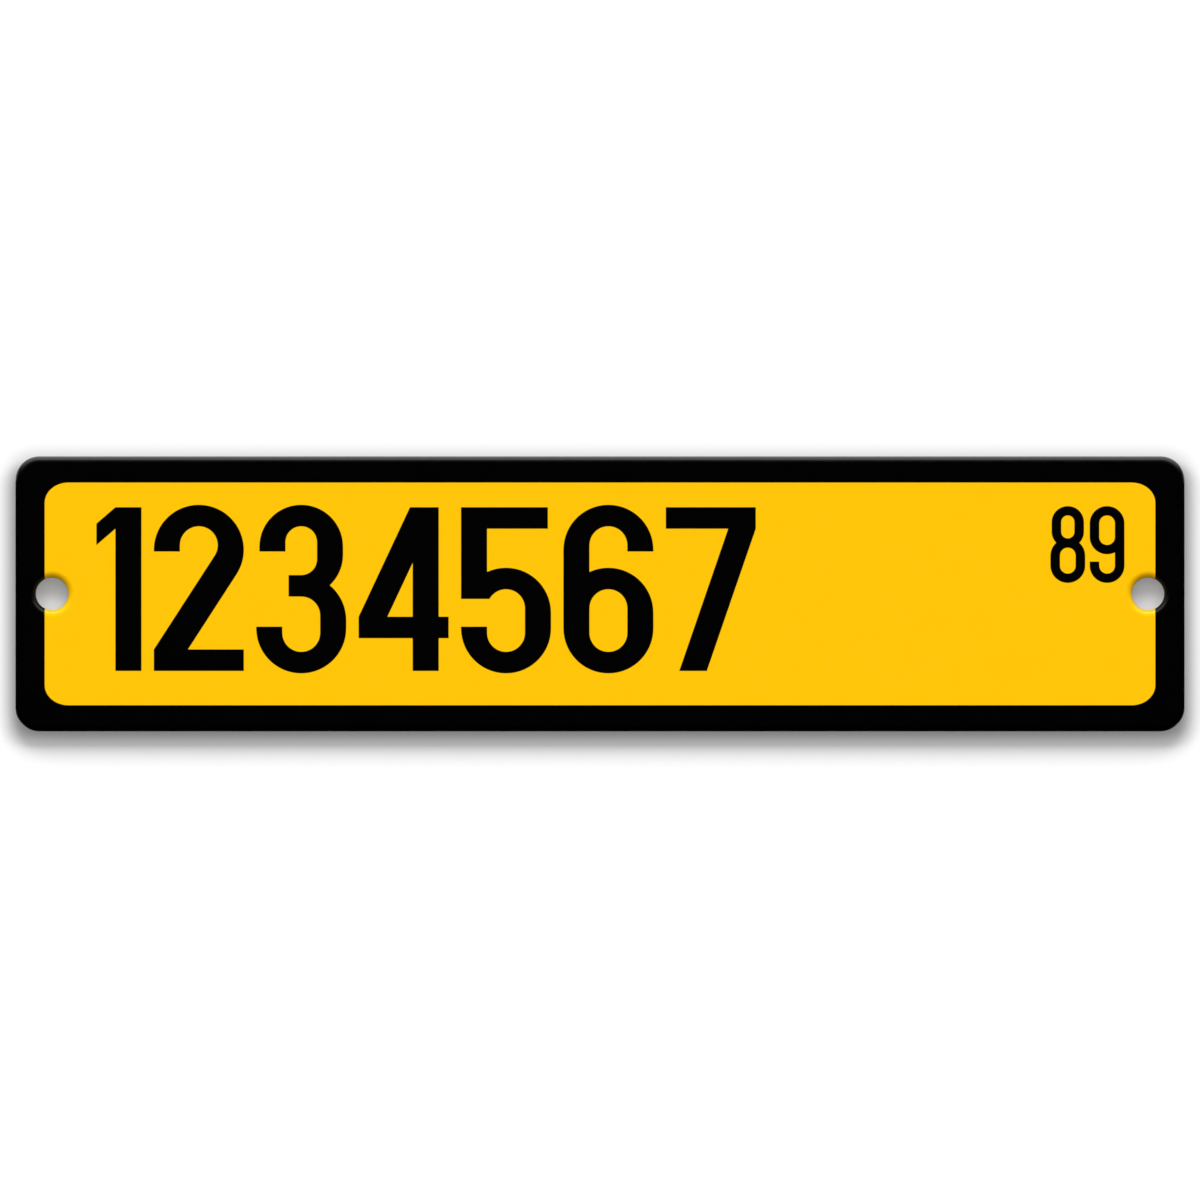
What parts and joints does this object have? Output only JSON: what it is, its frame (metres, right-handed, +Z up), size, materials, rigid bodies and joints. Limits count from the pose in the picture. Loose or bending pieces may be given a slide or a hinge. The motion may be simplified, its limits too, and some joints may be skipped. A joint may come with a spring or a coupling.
{
  "type": "street name sign",
  "caption": "Flat metal street name blade with rounded corners, a yellow face in a black border, plain black figures and a mounting hole near each end.",
  "frame": {"origin": "on the flat back face, midway between the centres of the mounting holes", "axes": "+X along the sign, to the right of someone who reads it, +Y out of the back face into the wall, +Z up; the printed face looks along -Y"},
  "size_m": [0.4318, 0.0033, 0.1016],
  "materials": {
    "bare_aluminium": "satin",
    "black_coat": "satin",
    "yellow_coat": "satin",
    "black_ink": "satin"
  },
  "bodies": {
    "root": {"aluminium_blank": "bare_aluminium", "black_border": "black_coat", "yellow_field": "yellow_coat", "name_figures": "black_ink", "suffix_figures": "black_ink"}
  },
  "joints": []
}
